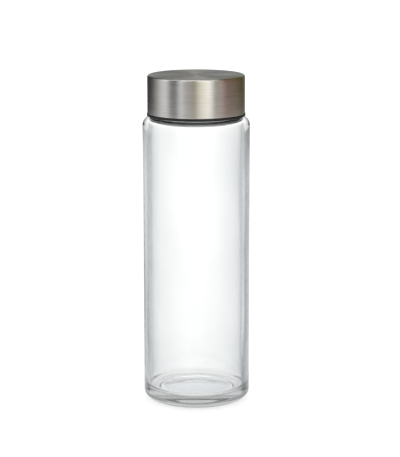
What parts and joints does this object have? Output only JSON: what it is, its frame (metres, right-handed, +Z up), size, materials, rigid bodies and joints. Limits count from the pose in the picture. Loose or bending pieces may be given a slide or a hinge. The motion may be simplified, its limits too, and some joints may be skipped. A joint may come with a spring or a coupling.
{
  "type": "glass water bottle",
  "caption": "Straight-sided clear glass water bottle with a brushed steel screw lid, a black sealing liner and a heavy pushed-up base.",
  "frame": {"origin": "centre of the underside, on the plane that the bottle stands on", "axes": "+Z up along the bottle's axis, from the base to the lid"},
  "size_m": [0.065, 0.065, 0.2],
  "materials": {
    "clear_glass": "polished, clear and almost colourless",
    "brushed_steel": "fine circular brushing round the side and top",
    "black_plastic": "satin moulded polypropylene",
    "silicone": "matte translucent white"
  },
  "bodies": {
    "bottle": {"bottle_body": "clear_glass"},
    "seal": {"lid_gasket": "silicone"},
    "lid": {"lid_shell": "brushed_steel", "lid_liner": "black_plastic"}
  },
  "joints": [
    {"name": "lid_lift", "type": "slide", "parent": "bottle", "child": "seal", "axis": [0, 0, 1], "range_m": [0, 0.032]},
    {"name": "lid_turn", "type": "hinge", "parent": "seal", "child": "lid", "pos_m": [0, 0, 0.18], "axis": [0, 0, 1], "range_deg": [0, 1440]}
  ],
  "couplings": [
    {"joint": "lid_lift", "follows": "lid_turn", "m_per_rad": 0.0012732}
  ]
}
